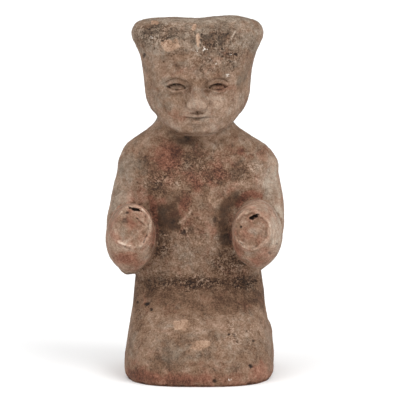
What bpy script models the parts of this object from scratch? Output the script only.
"""A kneeling pottery figure with short sleeve stubs held forward, as one solid of fired clay.

Metres, +Z up, the face towards -Y, the origin on the ground at the middle of the footprint.
The free form is drawn in millimetres of the real figure, which follow its height.
"""

from collections import namedtuple

import bmesh
import bpy
import numpy as np
from mathutils import Vector

# Driving dimensions, in metres.
HEIGHT = 0.250
BASE_WIDTH = 0.1040
BASE_DEPTH = 0.1100
HEAD_WIDTH = 0.0895
STUB_WIDTH = 0.0240
STUB_REACH = 0.0490

# One drawn millimetre in metres, and the driving dimensions in drawn millimetres.
DRAWN_HEIGHT = 250.0
MM = HEIGHT / DRAWN_HEIGHT
BASE_HALF_W = BASE_WIDTH / 2 / MM
BASE_HALF_D = BASE_DEPTH / 2 / MM
HEAD_HALF = HEAD_WIDTH / 2 / MM
STUB_HALF = STUB_WIDTH / 2 / MM
REACH = STUB_REACH / MM

# How finely the clay is meshed.
VOXEL = 1.4 * MM
RING_POINTS = 64
STEPS_BETWEEN = 5
SOFTENING_ROUNDS = 6
MOST_TRIANGLES = 9800

# The face is thinned less than the rest: its share of the weight, and what that counts for.
FACE_WEIGHT = 0.5
FACE_PRIORITY = 3.5e-4

# The forms reach this far below the ground, where the underside is then cut flat.
BELOW = 6.0

# A level cross-section of a form, from an ellipse at squareness 2 to a rounded rectangle above it.
Level = namedtuple("Level", "z half_width half_depth x y squareness")

# Lap, knees and the hem of the robe, from below the ground up.
LAP = (
    Level(-BELOW, 0.870 * BASE_HALF_W, 0.880 * BASE_HALF_D, 0.0, -1.0, 2.8),
    Level(0.0, 0.975 * BASE_HALF_W, 0.975 * BASE_HALF_D, 0.0, -1.0, 2.85),
    Level(3.0, 0.995 * BASE_HALF_W, 0.995 * BASE_HALF_D, 0.0, -1.0, 2.9),
    Level(9.0, BASE_HALF_W, BASE_HALF_D, 0.0, -1.0, 2.9),
    Level(20.0, 0.975 * BASE_HALF_W, 0.978 * BASE_HALF_D, 0.0, -0.5, 2.85),
    Level(30.0, 0.946 * BASE_HALF_W, 0.916 * BASE_HALF_D, 0.0, 1.5, 2.8),
    Level(40.0, 0.915 * BASE_HALF_W, 0.807 * BASE_HALF_D, 0.0, 5.0, 2.75),
    Level(48.0, 0.892 * BASE_HALF_W, 0.705 * BASE_HALF_D, -0.1, 8.0, 2.7),
    Level(56.0, 0.877 * BASE_HALF_W, 0.615 * BASE_HALF_D, -0.2, 10.0, 2.65),
    Level(64.0, 0.862 * BASE_HALF_W, 0.542 * BASE_HALF_D, -0.3, 11.5, 2.6),
    Level(72.0, 0.842 * BASE_HALF_W, 0.505 * BASE_HALF_D, -0.3, 12.0, 2.6),
)

# The folded lower legs under the robe, which stand out a little behind the knees.
SHINS = (
    Level(-BELOW, 0.870 * BASE_HALF_W, 0.727 * BASE_HALF_D, 1.0, 11.0, 2.5),
    Level(0.0, 0.965 * BASE_HALF_W, 0.800 * BASE_HALF_D, 1.0, 11.0, 2.5),
    Level(8.0, 1.004 * BASE_HALF_W, 0.836 * BASE_HALF_D, 0.6, 11.0, 2.5),
    Level(24.0, 0.977 * BASE_HALF_W, 0.818 * BASE_HALF_D, 0.9, 11.0, 2.5),
    Level(32.0, 0.950 * BASE_HALF_W, 0.782 * BASE_HALF_D, 1.0, 11.0, 2.5),
    Level(37.5, 0.885 * BASE_HALF_W, 0.673 * BASE_HALF_D, 1.0, 11.0, 2.4),
)

# Torso, shoulders and neck.
TORSO = (
    Level(40.0, 41.0, 30.0, 0.0, 12.0, 2.6),
    Level(56.0, 43.4, 31.0, -1.0, 12.0, 2.6),
    Level(68.0, 44.0, 30.5, -0.6, 12.0, 2.6),
    Level(82.0, 44.8, 31.0, -1.4, 11.0, 2.6),
    Level(98.0, 46.0, 31.5, -2.0, 10.0, 2.5),
    Level(114.0, 48.5, 31.5, -1.8, 9.0, 2.45),
    Level(128.0, 52.0, 30.5, -1.2, 8.5, 2.4),
    Level(139.0, 55.4, 28.5, -0.9, 8.0, 2.35),
    Level(147.0, 56.0, 26.8, -0.8, 8.0, 2.3),
    Level(151.5, 54.9, 25.6, -0.9, 8.0, 2.25),
    Level(156.0, 52.6, 24.8, -1.2, 7.6, 2.2),
    Level(160.0, 49.8, 24.2, -2.0, 7.0, 2.15),
    Level(164.0, 45.3, 23.8, -2.8, 6.2, 2.1),
    Level(168.0, 39.4, 23.4, -3.4, 5.2, 2.05),
    Level(173.0, 31.6, 23.4, -3.6, 5.0, 2.0),
    Level(180.0, 26.0, 22.8, -3.0, 4.8, 2.0),
    Level(192.0, 24.0, 22.4, -2.0, 4.6, 2.0),
)

# The head. Its hair widens to a flat top with blunt corners, and the jaw is a plain half oval.
HEAD_X = -1.2
HEAD_HALF_D = 33.0
CHIN = 168.5
JAW_TOP = 205.0
JAW_HALF_W = 0.79 * HEAD_HALF
JAW_LEVELS = 8
JAW_STARTS = 0.12
JAW_SQUARENESS = 2.25
CHIN_Y = -20.0
CHIN_SHARE = 0.34
CHIN_BLUNTNESS = 1.8
CHIN_SQUARENESS = 2.1
CROWN_Y = -1.0
CROWN = (
    Level(212.0, 0.806 * HEAD_HALF, HEAD_HALF_D, HEAD_X, -0.6, 2.25),
    Level(220.0, 0.832 * HEAD_HALF, 0.985 * HEAD_HALF_D, HEAD_X, -0.6, 2.25),
    Level(227.0, 0.878 * HEAD_HALF, 0.945 * HEAD_HALF_D, HEAD_X, -1.0, 2.25),
    Level(233.0, 0.942 * HEAD_HALF, 0.879 * HEAD_HALF_D, HEAD_X, -1.8, 2.25),
    Level(238.0, 0.985 * HEAD_HALF, 0.794 * HEAD_HALF_D, HEAD_X, -3.0, 2.25),
    Level(242.5, 0.985 * HEAD_HALF, 0.682 * HEAD_HALF_D, HEAD_X, -4.2, 2.25),
    Level(246.8, 0.910 * HEAD_HALF, 0.561 * HEAD_HALF_D, HEAD_X, -4.8, 2.2),
    Level(249.0, 0.760 * HEAD_HALF, 0.439 * HEAD_HALF_D, HEAD_X, -4.6, 2.2),
    Level(249.9, 0.500 * HEAD_HALF, 0.273 * HEAD_HALF_D, HEAD_X, -4.0, 2.2),
)

# A cross-section square to an arm. x is out from the line midway between the arms.
Station = namedtuple("Station", "x midway y z half_width half_height")

# From the shoulder down to the rounded elbow.
UPPER_ARM = (
    Station(39.0, -2.0, 8.5, 156.0, 7.0, 7.0),
    Station(41.0, -1.5, 8.0, 148.0, 12.0, 13.0),
    Station(43.0, -1.3, 7.5, 138.0, 13.8, 15.0),
    Station(45.0, -1.4, 6.5, 124.0, 14.8, 16.0),
    Station(45.6, -2.4, 5.5, 110.0, 16.4, 16.5),
    Station(44.6, -3.3, 4.5, 97.0, 16.4, 16.5),
    Station(42.6, -3.5, 4.0, 87.5, 14.4, 15.5),
    Station(40.8, -4.1, 4.0, 79.5, 11.8, 12.8),
    Station(39.2, -4.4, 4.0, 74.3, 7.6, 8.6),
)

# From the elbow forward to the flat end of the stub.
FOREARM = (
    Station(44.0, -3.3, 14.0, 92.0, 8.0, 9.0),
    Station(44.0, -3.3, 9.0, 94.0, 13.0, 14.5),
    Station(44.0, -3.3, 0.0, 96.5, 16.4, 19.0),
    Station(43.8, -3.4, -12.0, 99.5, 17.3, 22.5),
    Station(43.3, -3.5, -23.0, 102.0, 17.2, 23.8),
    Station(42.3, -3.7, -0.673 * REACH, 105.0, 1.333 * STUB_HALF, 1.792 * STUB_HALF),
    Station(40.8, -3.9, -0.857 * REACH, 107.5, 1.150 * STUB_HALF, 1.400 * STUB_HALF),
    Station(40.0, -4.0, -0.969 * REACH, 108.8, 1.050 * STUB_HALF, 1.217 * STUB_HALF),
    Station(39.8, -4.0, -REACH, 109.0, 0.933 * STUB_HALF, 1.083 * STUB_HALF),
)
SIDES = (-1, 1)

# How far each forearm is tipped: up at the end of its stub, and down from the elbow to the wrist.
ARM_TIP = {-1: 3.1, 1: -0.2}
WRIST_REACH = 0.49 * REACH
SHOULDER_Z = 150.0
ARM_DROP = 60.0

# The face, laid out by thirds between chin and hairline and by fifths across.
HAIRLINE = 229.0
FACE_THIRD = (HAIRLINE - CHIN) / 3
BROW_Z = CHIN + 2 * FACE_THIRD
NOSE_BASE_Z = CHIN + FACE_THIRD
MOUTH_Z = CHIN + 2 * FACE_THIRD / 3
EYE_WIDTH = 2 * JAW_HALF_W / 5
EYE_Z = BROW_Z - 0.30 * FACE_THIRD
EYE_HALF_OPEN = 3.3
EYE_HALF_LENGTH = 1.15
EYE_SWELL = 2.9
EYE_FULLNESS = 0.6
BROW_ARCH = 1.5
BROW_SWELL = 1.3
BROW_HALF_LENGTH = 1.5
BROW_THICKNESS = 2.2

# A soft swelling of the face, or a hollow where its height is below 0, at x out from the middle.
Swell = namedtuple("Swell", "height x z half_width half_height")
SOCKET = Swell(-4.2, 0.95 * EYE_WIDTH, EYE_Z + 0.8, 9.0, 5.0)
CHEEK = Swell(0.9, 1.35 * EYE_WIDTH, NOSE_BASE_Z - 1.0, 9.0, 8.0)
UPPER_LIP = Swell(2.3, 0.0, MOUTH_Z + 1.8, 8.0, 1.6)
LOWER_LIP = Swell(2.5, 0.0, MOUTH_Z - 2.4, 6.6, 1.9)
PARTED_LIPS = Swell(-1.9, 0.0, MOUTH_Z, 9.5, 0.9)
UNDER_LIP = Swell(-1.0, 0.0, MOUTH_Z - 5.6, 7.5, 1.9)
CHIN_BALL = Swell(1.6, 0.0, CHIN + 4.5, 9.0, 4.2)
NOSTRIL_WING = Swell(2.0, 0.36 * EYE_WIDTH, NOSE_BASE_Z + 2.6, 2.3, 2.4)
SWELLS = (SOCKET, CHEEK, UPPER_LIP, LOWER_LIP, PARTED_LIPS, UNDER_LIP, CHIN_BALL, NOSTRIL_WING)

# The nose is as wide as an eye at its tip, and stands out there by almost half its length.
NOSE_HEIGHT = 0.43 * FACE_THIRD
NOSE_TOP = EYE_Z + 4.5
NOSE_TIP = NOSE_BASE_Z + 1.8
NOSE_RISE = 0.75
NOSE_ROUNDING = 0.9
NOSE_UNDERSIDE = 3.0
BRIDGE_HALF_W = 3.4
TIP_HALF_W = 0.5 * EYE_WIDTH

# The face fades into the rest of the head below the chin, round the sides and where it is deep.
FACE_FADE = 3.0
FACE_TURN = (0.1, 0.55)
FACE_DEPTH = (8.0, 16.0)

# The hair's edge runs from the hairline, over the temples, down to the nape.
HAIR_STEP = 1.2
HAIR_EDGE = 1.0
NAPE_Z = 176.0
HAIR_TURNS_FROM = 0.35
HAIR_TURNS_TO = 1.95
HAIR_FADE = FACE_THIRD / 2

# The hair's top dips in the middle and rises on one side.
TOP_FROM = 231.0
TOP_TO = 247.0
TOP_RISE = 1.3
TOP_RISE_X = 22.0
TOP_DIP = 0.9
TOP_DIP_X = -1.0
TOP_REACH = 12.5

# The waist crease over the lap.
WAIST_Z = 66.5
WAIST_DEPTH = 1.2
WAIST_HALF_HEIGHT = 2.2
WAIST_FULL_X = 38.0
WAIST_END_X = 46.0

# Colour of the fired clay under its earth film.
CLAY_COLOR = (0.24, 0.16, 0.115, 1.0)
CLAY_ROUGHNESS = 0.9
SHARP_ANGLE = 0.9


def smooth_rows(rows, steps):
    """Rows of numbers with in-between rows, on a Catmull-Rom curve through each given one."""
    rows = np.array(rows, float)
    padded = np.vstack([2 * rows[0] - rows[1], rows, 2 * rows[-1] - rows[-2]])
    t = np.linspace(0, 1, steps, endpoint=False)[:, None]
    spans = [
        0.5 * (2 * b + (c - a) * t + (2 * a - 5 * b + 4 * c - d) * t**2 + (3 * b - a - 3 * c + d) * t**3)
        for a, b, c, d in zip(padded, padded[1:], padded[2:], padded[3:])
    ]
    return np.vstack([*spans, rows[-1:]])


def oval(half_width, half_depth, squareness):
    """Points of a superellipse, counter-clockwise, as rows of x and y."""
    angle = np.linspace(0, 2 * np.pi, RING_POINTS, endpoint=False)
    c, s = np.cos(angle), np.sin(angle)
    power = 2 / squareness
    x = half_width * np.sign(c) * np.abs(c) ** power
    y = half_depth * np.sign(s) * np.abs(s) ** power
    return np.column_stack([x, y])


def level_rings(levels):
    """Rings of points, in drawn millimetres, for a form that is cut by level planes."""
    rings = []
    for z, half_width, half_depth, x, y, squareness in smooth_rows(levels, STEPS_BETWEEN):
        ring = oval(half_width, half_depth, squareness) + (x, y)
        rings.append(np.column_stack([ring, np.full(RING_POINTS, z)]))
    return rings


def tip_share(y, z):
    """0 at the shoulder, below 0 at the elbow and above 0 at the end of the stub."""
    forward = 2 * step(-y, WRIST_REACH, REACH) - 1
    return forward * np.clip((SHOULDER_Z - z) / ARM_DROP, 0, 1)


def arm_rings(stations, side):
    """Rings of points for an arm on one side, square to the line through its stations."""
    rows = smooth_rows(stations, STEPS_BETWEEN)
    rows[:, 3] += ARM_TIP[side] * tip_share(rows[:, 2], rows[:, 3])
    centres = np.column_stack([rows[:, 1] + side * rows[:, 0], rows[:, 2], rows[:, 3]])
    rings = []
    for centre, along, row in zip(centres, np.gradient(centres, axis=0), rows):
        along = Vector(along).normalized()
        across = (Vector((1, 0, 0)) - along * along.x).normalized()
        over = along.cross(across)
        flat = oval(row[4], row[5], 2.0)
        rings.append(centre + flat[:, :1] * np.array(across) + flat[:, 1:] * np.array(over))
    return rings


def jaw_levels():
    """The half oval from the chin up to where the crown begins, its chin forward of its top."""
    levels = []
    for angle in np.linspace(JAW_STARTS, 1.0, JAW_LEVELS) * np.pi / 2:
        share = np.sin(angle)
        z = JAW_TOP - (JAW_TOP - CHIN) * np.cos(angle)
        half_depth = HEAD_HALF_D * (CHIN_SHARE + (1 - CHIN_SHARE) * share) * min(1, CHIN_BLUNTNESS * share)
        y = CHIN_Y + (CROWN_Y - CHIN_Y) * share
        squareness = CHIN_SQUARENESS + (JAW_SQUARENESS - CHIN_SQUARENESS) * share
        levels.append(Level(z, JAW_HALF_W * share, half_depth, HEAD_X, y, squareness))
    return tuple(levels)


def add_form(mesh, rings):
    """Adds one closed skin over the rings, its faces pointing out."""
    loops = [[mesh.verts.new(Vector(p) * MM) for p in ring] for ring in rings]
    faces = []
    for low, high in zip(loops, loops[1:]):
        for i in range(RING_POINTS):
            j = (i + 1) % RING_POINTS
            faces.append(mesh.faces.new((low[i], low[j], high[j], high[i])))
    faces.append(mesh.faces.new(loops[0][::-1]))
    faces.append(mesh.faces.new(loops[-1]))
    bmesh.ops.recalc_face_normals(mesh, faces=faces)


def rough_clay():
    """Every form pressed together into one skin, with its joins softened, as a new mesh."""
    mesh = bmesh.new()
    for levels in (LAP, SHINS, TORSO, jaw_levels() + CROWN):
        add_form(mesh, level_rings(levels))
    for side in SIDES:
        add_form(mesh, arm_rings(UPPER_ARM, side))
        add_form(mesh, arm_rings(FOREARM, side))
    data = bpy.data.meshes.new("rough_clay")
    mesh.to_mesh(data)
    mesh.free()
    obj = bpy.data.objects.new("rough_clay", data)
    bpy.context.scene.collection.objects.link(obj)
    fuse = obj.modifiers.new("fuse", "REMESH")
    fuse.mode = "VOXEL"
    fuse.voxel_size = VOXEL
    soften = obj.modifiers.new("soften", "SMOOTH")
    soften.iterations = SOFTENING_ROUNDS
    fused = bpy.data.meshes.new_from_object(obj.evaluated_get(bpy.context.evaluated_depsgraph_get()))
    bpy.data.objects.remove(obj)
    return fused


def mound(value, centre, radius):
    """1 at the centre, fading to nothing beyond the radius."""
    return np.exp(-(((value - centre) / radius) ** 2))


def step(value, low, high):
    """0 below low and 1 above high, with a smooth rise between."""
    t = np.clip((value - low) / (high - low), 0, 1)
    return t * t * (3 - 2 * t)


def nose(side, z):
    """How far the nose stands forward of the face."""
    down = np.clip((NOSE_TOP - z) / (NOSE_TOP - NOSE_TIP), 0, 1)
    half_width = BRIDGE_HALF_W + (TIP_HALF_W - BRIDGE_HALF_W) * down
    across = np.clip(1 - (side / half_width) ** 2, 0, 1) ** NOSE_ROUNDING
    above_base = step(z, NOSE_TIP - NOSE_UNDERSIDE, NOSE_TIP)
    return NOSE_HEIGHT * across * down**NOSE_RISE * above_base


def eye(side, z):
    """How far the closed oval of an eye, and the brow arched over it, stand forward of the face."""
    along = (side - EYE_WIDTH) / (EYE_WIDTH / 2)
    oval_share = 1 - (along / EYE_HALF_LENGTH) ** 2 - ((z - EYE_Z) / EYE_HALF_OPEN) ** 2
    arch = BROW_Z + BROW_ARCH * (1 - along**2)
    brow = mound(along, 0, BROW_HALF_LENGTH) * mound(z, arch, BROW_THICKNESS)
    return EYE_SWELL * np.clip(oval_share, 0, 1) ** EYE_FULLNESS + BROW_SWELL * brow


def face_relief(p):
    """How far each point of the face stands forward of the plain head."""
    side = np.abs(p[:, 0] - HEAD_X)
    z = p[:, 2]
    relief = nose(side, z) + eye(side, z)
    for swell in SWELLS:
        relief += swell.height * mound(side, swell.x, swell.half_width) * mound(z, swell.z, swell.half_height)
    return relief


def hair_relief(p):
    """How far the hair stands out from the head: all of it above an edge that sweeps back to the nape."""
    round_from_front = np.arctan2(np.abs(p[:, 0] - HEAD_X), -p[:, 1])
    swept = step(round_from_front, HAIR_TURNS_FROM, HAIR_TURNS_TO)
    edge = HAIRLINE - (HAIRLINE - NAPE_Z) * swept
    covered = step(p[:, 2], edge - HAIR_EDGE, edge + HAIR_EDGE)
    return HAIR_STEP * covered * step(p[:, 2], NAPE_Z, NAPE_Z + HAIR_FADE)


def points_and_normals(data):
    """The points of a mesh in drawn millimetres, and the way out of the clay at each."""
    co = np.empty(len(data.vertices) * 3)
    normal = np.empty(len(data.vertices) * 3)
    data.vertices.foreach_get("co", co)
    data.vertex_normals.foreach_get("vector", normal)
    return co.reshape(-1, 3) / MM, normal.reshape(-1, 3)


def face_share(p, out):
    """1 on the front of the head and 0 elsewhere."""
    above_chin = step(p[:, 2], CHIN - FACE_FADE / 3, CHIN + 2 * FACE_FADE / 3)
    return above_chin * step(-out[:, 1], *FACE_TURN) * step(-p[:, 1], *FACE_DEPTH)


def carve(data):
    """Models the face, hair, uneven top and waist crease into the skin by moving its points."""
    p, out = points_and_normals(data)
    forward = face_relief(p) * face_share(p, out)
    across = np.abs(p[:, 0])
    crease = mound(p[:, 2], WAIST_Z, WAIST_HALF_HEIGHT) * step(-out[:, 1], 0.2, 0.7)
    outward = hair_relief(p) - WAIST_DEPTH * crease * (1 - step(across, WAIST_FULL_X, WAIST_END_X))
    rise = TOP_RISE * mound(p[:, 0], TOP_RISE_X, TOP_REACH) - TOP_DIP * mound(p[:, 0], TOP_DIP_X, TOP_REACH)
    moved = p + out * outward[:, None]
    moved[:, 1] -= forward
    moved[:, 2] += rise * step(p[:, 2], TOP_FROM, TOP_TO)
    data.vertices.foreach_set("co", (moved * MM).ravel())
    data.update()


def cut_level(data):
    """Cuts the underside flat at the ground and closes it."""
    mesh = bmesh.new()
    mesh.from_mesh(data)
    everything = mesh.verts[:] + mesh.edges[:] + mesh.faces[:]
    found = bmesh.ops.bisect_plane(
        mesh, geom=everything, dist=1e-7, plane_co=(0, 0, 0), plane_no=(0, 0, -1), clear_outer=True
    )
    rim = [item for item in found["geom_cut"] if isinstance(item, bmesh.types.BMEdge)]
    bmesh.ops.contextual_create(mesh, geom=rim)
    bmesh.ops.recalc_face_normals(mesh, faces=mesh.faces[:])
    bmesh.ops.triangulate(mesh, faces=mesh.faces[:])
    mesh.to_mesh(data)
    mesh.free()


def set_height(data):
    """Scales the points upwards from the ground so that the highest is at the figure's height."""
    highest = max(v.co.z for v in data.vertices)
    for v in data.vertices:
        v.co.z *= HEIGHT / highest


def thin_out(data):
    """The mesh with as many triangles as the figure may have, fewest where it is smooth."""
    obj = bpy.data.objects.new("thinning", data)
    bpy.context.scene.collection.objects.link(obj)
    data.calc_loop_triangles()
    plain = obj.vertex_groups.new(name="plain")
    weights = 1 - (1 - FACE_WEIGHT) * face_share(*points_and_normals(data))
    for index, weight in enumerate(weights):
        plain.add([index], float(weight), "REPLACE")
    fewer = obj.modifiers.new("fewer", "DECIMATE")
    fewer.vertex_group = plain.name
    fewer.vertex_group_factor = FACE_PRIORITY
    fewer.ratio = min(1.0, MOST_TRIANGLES / len(data.loop_triangles))
    thinned = bpy.data.meshes.new_from_object(obj.evaluated_get(bpy.context.evaluated_depsgraph_get()))
    bpy.data.objects.remove(obj)
    return thinned


def clay_material():
    material = bpy.data.materials.new("fired_clay")
    material.use_nodes = True
    shader = material.node_tree.nodes["Principled BSDF"]
    shader.inputs["Base Color"].default_value = CLAY_COLOR
    shader.inputs["Roughness"].default_value = CLAY_ROUGHNESS
    shader.inputs["Metallic"].default_value = 0.0
    material.diffuse_color = CLAY_COLOR
    return material


def make_figure():
    data = rough_clay()
    carve(data)
    data = thin_out(data)
    cut_level(data)
    set_height(data)
    data.name = "figure"
    data.materials.clear()
    data.materials.append(clay_material())
    data.shade_smooth()
    data.set_sharp_from_angle(angle=SHARP_ANGLE)
    figure = bpy.data.objects.new("figure", data)
    bpy.context.scene.collection.objects.link(figure)
    return figure


for old in list(bpy.data.objects):
    bpy.data.objects.remove(old)
make_figure()
